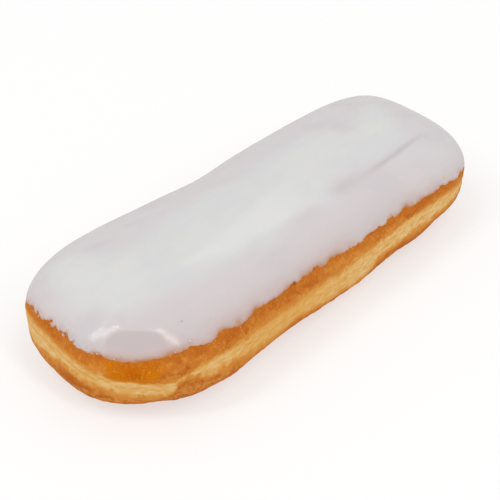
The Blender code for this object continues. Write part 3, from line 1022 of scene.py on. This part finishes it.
def icing_finish():
    """White sugar icing, pink where it is thin."""
    mix = Finish("sugar icing")
    clouds = mix.speckle((0.06, 0.09, 0.09), 2.0)
    drawn = mix.speckle((0.07, 0.3, 0.2), 1.0)
    mottle = mix.speckle((0.25, 0.35, 0.35), 2.0)
    dust = mix.speckle((1.6, 1.6, 1.6), 2.0)

    over = mix.guide("over_hem") + (mottle - 0.5) * 1.2
    thin = mix.blend(mix.rise(clouds, 0.46, 0.66) * 0.6, mix.ramp(over, THIN_ICING),
                     glazed(209, 203, 206))
    warm = mix.rise(clouds * 0.7 + drawn * 0.3, 0.4, 0.62)
    thick = mix.blend(warm, glazed(217, 217, 218), glazed(220, 220, 218))
    colour = mix.coats(thin, (
        (mix.rise(mix.guide("white") + (drawn - 0.5) * 0.25, 0.0, 1.0), thick),
        # the tongue is painted brighter, partly as whiter icing and partly as a painted
        # highlight along its ridge
        (mix.guide("tongue") * 0.75, glazed(226, 226, 225)),
        # painted shade along the crease
        (mix.guide("crease") * 0.6, glazed(192, 184, 188)),
        # painted reflection: the dish is painted darker for the darker gap between the soft
        # boxes that it mirrors
        (mix.guide("dish") * mix.rise(over, 0.4, 2.8) * 0.85, glazed(200, 188, 189)),
    ))
    mix.plug(mix.shader.inputs["Base Color"], colour)
    dull = 1.0 - mix.rise(mix.guide("over_hem"), 0.0, 1.5)
    mix.plug(mix.shader.inputs["Roughness"], 0.11 + dust * 0.06 + dull * 0.25)

    mix.plug(mix.shader.inputs["Normal"], mix.bump(mottle * 0.4 + dust * 0.06, 0.2))
    mix.shader.inputs["Specular IOR Level"].default_value = 0.3
    mix.shader.inputs["Subsurface Weight"].default_value = 0.25
    mix.shader.inputs["Subsurface Radius"].default_value = (1.0, 0.75, 0.65)
    mix.shader.inputs["Subsurface Scale"].default_value = 1.5 * MM
    return mix.material


icing.data.materials.append(icing_finish())
print("icing painted")

# %% [markdown]
# ## Crumbs and beads
#
# A hem that was dipped by hand leaves beads of icing on the crust, and a few crumbs stick
# to the glaze. Each one starts as a small ball, gets its own lumpy shape, and is sunk a
# third into what it lies on. The beads are joined into one piece and the crumbs into
# another, because none of them ever moves alone.

# %% Scatter the crumbs and beads
ICING_BEADS = (                   # tape reading, height over the hem, radius, mm
    (-12.2, 0.2, 0.26), (-9.0, 0.5, 0.24), (-6.2, 0.6, 0.28), (-2.8, 0.5, 0.24),
    (0.9, 0.4, 0.26), (3.6, 0.5, 0.3), (6.1, 0.3, 0.24), (9.2, 0.3, 0.26), (12.4, 0.3, 0.28),
    (17.2, 0.2, 0.22), (33.2, 0.3, 0.24), (38.1, 1.3, 0.45),
    (137.5, 0.5, 0.24), (142.0, 0.4, 0.28), (144.6, 0.6, 0.24), (147.4, 0.4, 0.28),
    (150.8, 0.5, 0.24), (-48.0, 0.3, 0.26), (-71.0, 0.2, 0.26), (-118.0, 0.3, 0.28),
)
GOLDEN, DARK = 0.0, 1.0
CRUMBS = (                        # tape reading, height over the hem, radius in mm, browning
    (143.6, 2.0, 0.45, GOLDEN), (75.2, -0.1, 0.6, DARK), (37.8, 4.5, 0.16, DARK),
    (-60.0, 2.0, 0.3, GOLDEN), (-97.0, 1.2, 0.26, DARK),
)
SUNK_SHARE = 0.35
OUTSIDE = 60.0                    # mm, further out than any part of the bar


def side_spot(way, height, piece):
    """Place and normal on a piece's outer face at a tape reading and height."""
    cap_half = CAP_RADIUS * math.pi / 2
    straight = min(max(abs(way) - cap_half, 0.0), FAR_CENTRE - NEAR_CENTRE)
    turn = (abs(way) - straight) / CAP_RADIUS
    out = Vector((-math.cos(turn), math.copysign(math.sin(turn), -way), 0.0))
    heart = Vector((NEAR_CENTRE + straight, MIDDLE_Y, height))
    hit = piece.ray_cast((heart + out * OUTSIDE) * MM, -out)
    return hit[1] / MM, hit[2]


def lumpy_ball(spot, out, radius, seed):
    """A small uneven ball, flattened and partly sunk at a spot on a surface."""
    bpy.ops.mesh.primitive_ico_sphere_add(subdivisions=2, radius=radius * MM)
    ball = bpy.context.object
    points = places_of(ball)
    swell = 1.0 + 0.3 * grain(points, (radius, radius, radius), seed)
    put_places(ball, points * swell[:, None] * (1.0, 0.85, 0.7))
    ball.rotation_euler = out.to_track_quat("Z", "Y").to_euler()
    ball.location = (spot + out * radius * (0.7 - 2.0 * SUNK_SHARE)) * MM
    bpy.ops.object.transform_apply()
    bpy.ops.object.shade_smooth()
    return ball


def scattered(stations, name):
    """One joined piece of lumpy balls along the hem."""
    balls = []
    for seed, (way, rise, radius, *browning) in enumerate(stations):
        spot, out = side_spot(way, float(hem_at(way)) + rise, icing)
        ball = lumpy_ball(spot, out, radius, 20 + seed)
        for share in browning:
            write_guide(ball, "browning", np.full(len(ball.data.vertices), share))
        balls.append(ball)
    bpy.ops.object.select_all(action="DESELECT")
    for ball in balls:
        ball.select_set(True)
    bpy.ops.object.join()
    bpy.context.object.name = bpy.context.object.data.name = name
    return bpy.context.object


beads = scattered(ICING_BEADS, "icing_beads")
crumbs = scattered(CRUMBS, "crumbs")
print("beads and crumbs:", triangles_in(beads), "and", triangles_in(crumbs), "triangles")

# %% [markdown]
# The beads are the same icing, warmed by what is under them. Each crumb has its own
# browning, which was written on its points.

# %% Paint the crumbs and beads
def bead_finish():
    """White icing with a little of the crust's warmth."""
    mix = Finish("bead icing")
    warm = mix.rise(mix.speckle((1.2, 1.2, 1.2), 2.0), 0.4, 0.65)
    mix.plug(mix.shader.inputs["Base Color"],
             mix.blend(warm, glazed(216, 203, 199), glazed(204, 178, 164)))
    mix.shader.inputs["Roughness"].default_value = 0.3
    mix.shader.inputs["Specular IOR Level"].default_value = 0.25
    return mix.material


def crumb_finish():
    """Fried crumbs, golden or brown."""
    mix = Finish("fried crumb")
    shade = mix.guide("browning") + (mix.speckle((1.5, 1.5, 1.5), 2.0) - 0.5) * 0.8
    mix.plug(mix.shader.inputs["Base Color"],
             mix.blend(mix.rise(shade, 0.0, 1.0), baked(226, 190, 120), baked(158, 84, 38)))
    mix.shader.inputs["Roughness"].default_value = 0.7
    mix.shader.inputs["Specular IOR Level"].default_value = 0.1
    return mix.material


beads.data.materials.append(bead_finish())
crumbs.data.materials.append(crumb_finish())
print("crumbs and beads painted")

# %% [markdown]
# ## Putting it on the frame
#
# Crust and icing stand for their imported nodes. Everything rides on the one body, because
# nothing on a doughnut moves.

# %% Attach and finish
for piece, node, slot in ((crust, "dough", "crust"), (icing, "icing", "icing")):
    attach(piece, "root")
    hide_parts(node)
    print(piece.name, "stands for", node, "with", triangles_in(piece), "triangles")

for piece, slot in ((beads, "icing"), (crumbs, "crust")):
    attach(piece, "root")
